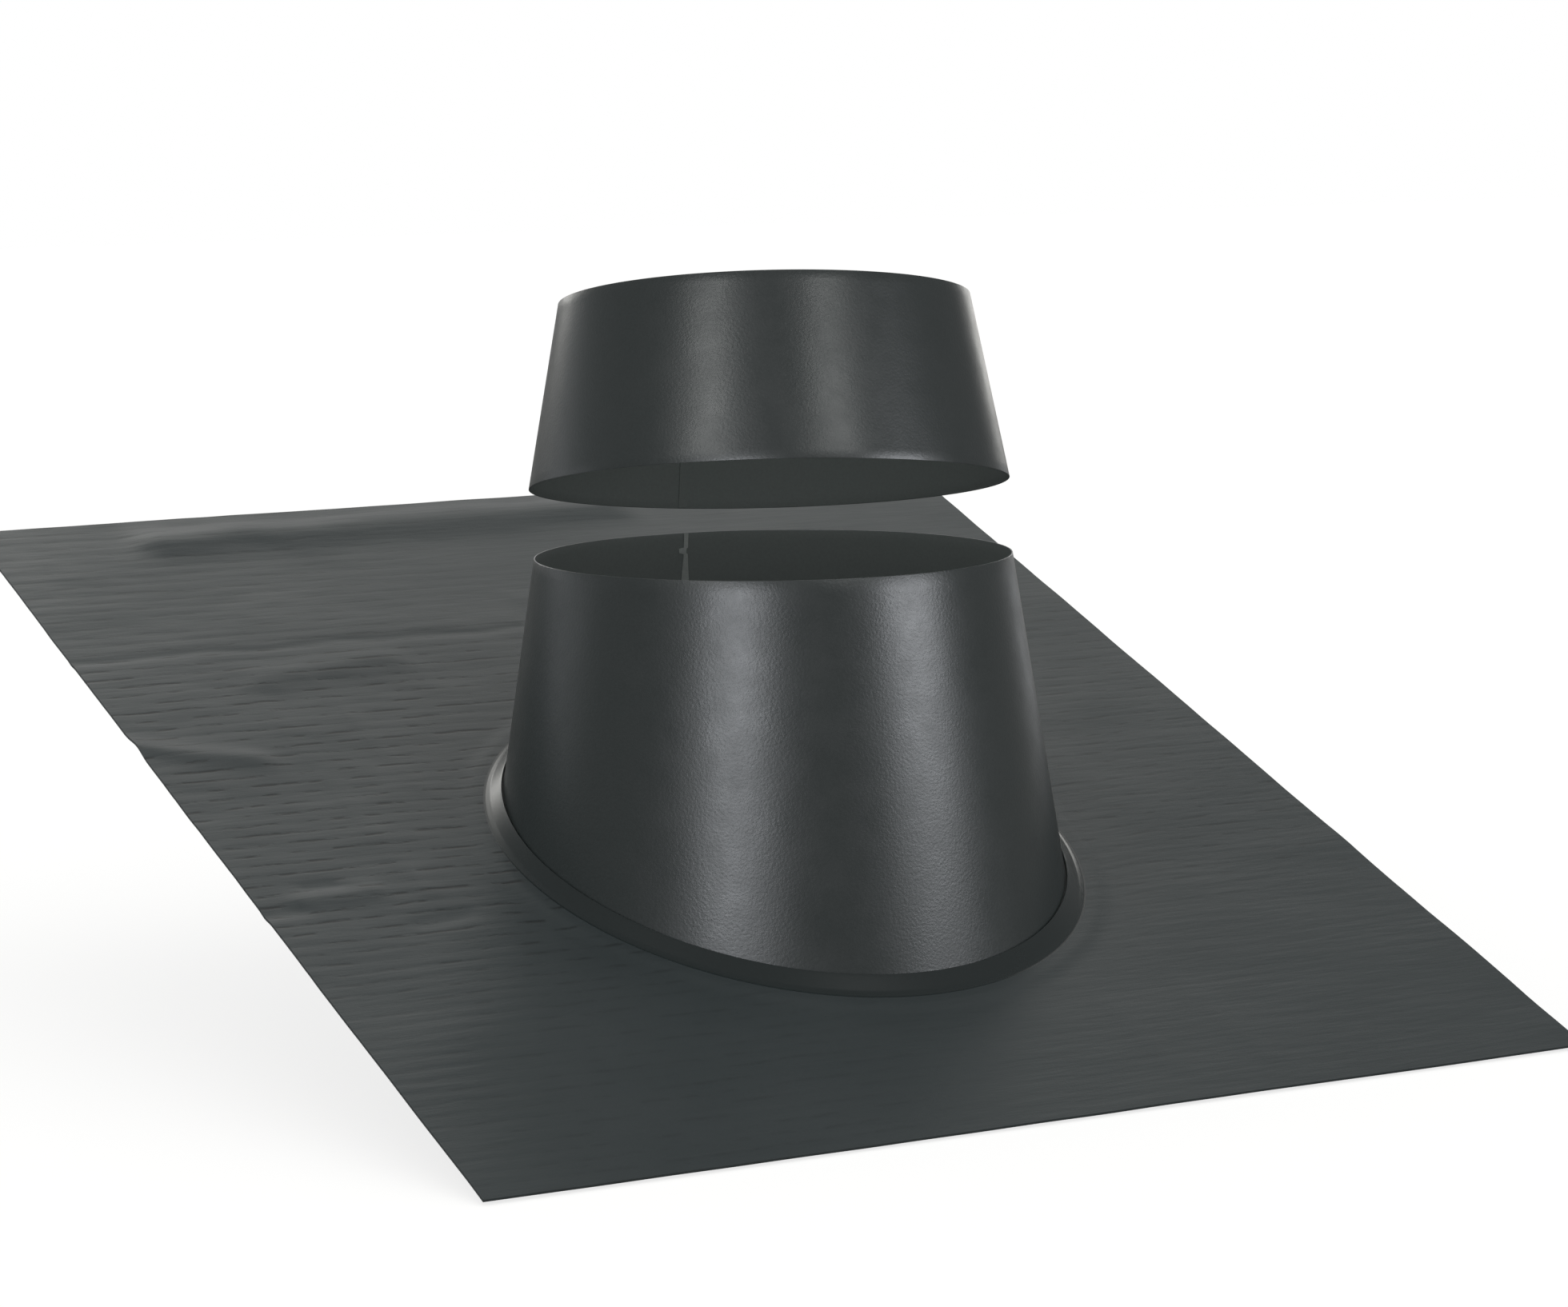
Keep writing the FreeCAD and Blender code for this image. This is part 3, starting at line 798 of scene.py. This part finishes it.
# %% Where things stand
CAMERA_AZIMUTH, CAMERA_ELEVATION, CAMERA_ROLL = map(math.radians, (-28.6045, 7.3460, -0.7957))
CAMERA_PLACE = Vector((-1.3438, -2.4761, 0.4740))
CAMERA_LENS = 106.742
TARGET = Vector((0, 0, 0.1))


def toward(azimuth, elevation):
    """Unit vector out to a place; azimuth 0 is straight downhill and 90 is along +X."""
    return Vector((math.sin(azimuth) * math.cos(elevation),
                   -math.cos(azimuth) * math.cos(elevation), math.sin(elevation)))

# %% Camera
def camera():
    data = bpy.data.cameras.new("camera")
    data.lens = CAMERA_LENS
    data.clip_start, data.clip_end = 0.05, 60
    back = toward(CAMERA_AZIMUTH, CAMERA_ELEVATION)
    level = Vector((math.cos(CAMERA_AZIMUTH), math.sin(CAMERA_AZIMUTH), 0))
    upright = back.cross(level)
    right = level * math.cos(CAMERA_ROLL) + upright * math.sin(CAMERA_ROLL)
    up = back.cross(right)
    thing = bpy.data.objects.new("camera", data)
    thing.matrix_world = Matrix.Translation(CAMERA_PLACE) @ Matrix((right, up, back)).transposed().to_4x4()
    bpy.context.collection.objects.link(thing)
    bpy.context.scene.camera = thing
    return thing


print("camera at", [round(v, 3) for v in camera().matrix_world.translation])

# %% Soft boxes
# Cool light in front, nearly plain light above it and slightly warm light behind.
COOL, PLAIN, WARM = (0.93, 0.95, 1.0), (0.97, 0.98, 0.97), (1.0, 0.99, 0.95)


def soft_box(name, azimuth, elevation, distance, width, height, power, tint=COOL):
    """A rectangular lamp beside the camera's line, AZIMUTH degrees to the right of it."""
    data = bpy.data.lights.new(name, "AREA")
    data.shape = "RECTANGLE"
    data.size, data.size_y = width, height
    data.energy = power
    data.color = tint
    lamp = bpy.data.objects.new(name, data)
    way = toward(CAMERA_AZIMUTH + math.radians(azimuth), math.radians(elevation))
    lamp.location = TARGET + way * distance
    lamp.rotation_mode = "QUATERNION"
    lamp.rotation_quaternion = way.to_track_quat("Z", "Y")
    lamp.visible_camera = False
    lamp.visible_diffuse = False
    bpy.context.collection.objects.link(lamp)
    return lamp


BOXES = [
    soft_box("low_left", -17, 12, 2.2, 0.9, 0.7, 19),
    soft_box("low_right", 65, 12, 2.2, 0.95, 0.6, 19.5),
    soft_box("high_left", -33, 37, 2.2, 0.6, 0.5, 6.8, PLAIN),
    soft_box("high_right", 37, 37, 2.2, 0.65, 0.5, 5.9, PLAIN),
    soft_box("over_back", 184, 37, 2.6, 2.1, 1.1, 5.4, WARM),
    soft_box("over_left", -148, 35, 2.6, 1.2, 1.0, 3.7, WARM),
    soft_box("rim_left", -147, 17, 2.6, 0.7, 0.7, 5.8, WARM),
    soft_box("rim_right", 158, 9, 2.6, 0.6, 0.6, 3.2, WARM),
    soft_box("side_left", -112, 4, 2.4, 1.5, 0.9, 2.4),
    soft_box("side_right", 148, -3, 2.3, 0.8, 0.4, 0.5),
]
print("lamps:", [b.name for b in BOXES])

# %% Surroundings
BEHIND = toward(CAMERA_AZIMUTH + math.pi, math.radians(10))
EVEN_LIGHT = 0.95     # what matt surfaces get from all round, where white is 1
ROOM_FRONT, ROOM_BACK = 0.19, 0.2      # what glossy ones mirror of the room
BACKDROP = 0.955, 0.985      # where the white backdrop begins and is full, as cosines


def how_far_behind(tree, way, near, far, low, high):
    """Goes from LOW to HIGH as the way turns from NEAR to FAR towards straight behind."""
    facing = add(tree, "ShaderNodeVectorMath", {"operation": "DOT_PRODUCT"}, {0: way, 1: BEHIND})
    spread = add(tree, "ShaderNodeMapRange", {"interpolation_type": "SMOOTHSTEP"}, {
        "Value": facing.outputs["Value"], "From Min": near, "From Max": far,
        "To Min": low, "To Max": high})
    return spread.outputs["Result"]


def surroundings():
    world = bpy.data.worlds.new("studio")
    world.use_nodes = True
    world.cycles.sampling_method = "NONE"
    tree = world.node_tree
    tree.nodes.clear()
    path = add(tree, "ShaderNodeLightPath")
    way = add(tree, "ShaderNodeTexCoord").outputs["Generated"]
    room = how_far_behind(tree, way, 0.6, 0.9, ROOM_FRONT, ROOM_BACK)
    mirrored = add(tree, "ShaderNodeMath", {"operation": "MULTIPLY"}, {
        0: path.outputs["Is Glossy Ray"], 1: how_far_behind(tree, way, *BACKDROP, 0.0, 1.0)})
    seen = add(tree, "ShaderNodeMath", {"operation": "MAXIMUM"}, {
        0: path.outputs["Is Camera Ray"], 1: path.outputs["Is Transmission Ray"]})
    white = add(tree, "ShaderNodeMath", {"operation": "MAXIMUM"}, {
        0: seen.outputs["Value"], 1: mirrored.outputs["Value"]})
    even = add(tree, "ShaderNodeMix", {"data_type": "FLOAT"}, {
        "Factor": path.outputs["Is Diffuse Ray"], "A": room, "B": EVEN_LIGHT})
    strength = add(tree, "ShaderNodeMix", {"data_type": "FLOAT"}, {
        "Factor": white.outputs["Value"], "A": even.outputs["Result"], "B": 1.0})
    light = add(tree, "ShaderNodeBackground", inputs={
        "Color": colour("#ffffff"), "Strength": strength.outputs["Result"]})
    output = add(tree, "ShaderNodeOutputWorld")
    tree.links.new(light.outputs["Background"], output.inputs["Surface"])
    bpy.context.scene.world = world
    return world


surroundings()

# %% Floor
FLOOR_SIDE = 24.0
FLOOR_GLOW = 0.77     # what the camera sees of the floor even in full shadow


def floor():
    level = frame_box[0][2] - 1 * MM
    half = FLOOR_SIDE / 2
    mesh = bpy.data.meshes.new("floor")
    mesh.from_pydata([(-half, -half, level), (half, -half, level), (half, half, level),
                      (-half, half, level)], [], [(0, 1, 2, 3)])
    material, output = new_material("matt_white_studio_floor")
    material.cycles.emission_sampling = "NONE"
    tree = material.node_tree
    path = add(tree, "ShaderNodeLightPath")
    place = add(tree, "ShaderNodeNewGeometry").outputs["Position"]
    way = add(tree, "ShaderNodeVectorMath", {"operation": "NORMALIZE"}, {0: place}).outputs["Vector"]
    mirrored = add(tree, "ShaderNodeMath", {"operation": "MULTIPLY"}, {
        0: path.outputs["Is Glossy Ray"], 1: how_far_behind(tree, way, *BACKDROP, 0.0, 1.0)})
    seen = add(tree, "ShaderNodeMath", {"operation": "MAXIMUM"}, {
        0: path.outputs["Is Camera Ray"], 1: path.outputs["Is Transmission Ray"]})
    seen = add(tree, "ShaderNodeMath", {"operation": "MAXIMUM"}, {
        0: seen.outputs["Value"], 1: mirrored.outputs["Value"]})
    glow = add(tree, "ShaderNodeMath", {"operation": "MULTIPLY"}, {
        0: seen.outputs["Value"], 1: FLOOR_GLOW})
    paint = add(tree, "ShaderNodeBsdfDiffuse", inputs={"Color": colour("#8c8c8a")})
    shine = add(tree, "ShaderNodeEmission", inputs={
        "Color": colour("#ffffff"), "Strength": glow.outputs["Value"]})
    both = add(tree, "ShaderNodeAddShader", inputs={
        0: paint.outputs["BSDF"], 1: shine.outputs["Emission"]})
    tree.links.new(both.outputs["Shader"], output.inputs["Surface"])
    mesh.materials.append(material)
    thing = bpy.data.objects.new("floor", mesh)
    bpy.context.collection.objects.link(thing)
    thing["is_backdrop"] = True
    return thing


floor()
bpy.context.scene.view_settings.view_transform = "Standard"

# %% [markdown]
# ## The two boxes
# The box of the imported solids and the box of what is drawn are printed side by side, so
# that they can be compared.

# %% Print the two boxes
boxes = {"cad": [list(corner) for corner in frame_box],
         "visual": [list(corner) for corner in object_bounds()]}
for name, (low, high) in boxes.items():
    print(name, [round(1000 * (b - a), 1) for a, b in zip(low, high)], "mm")
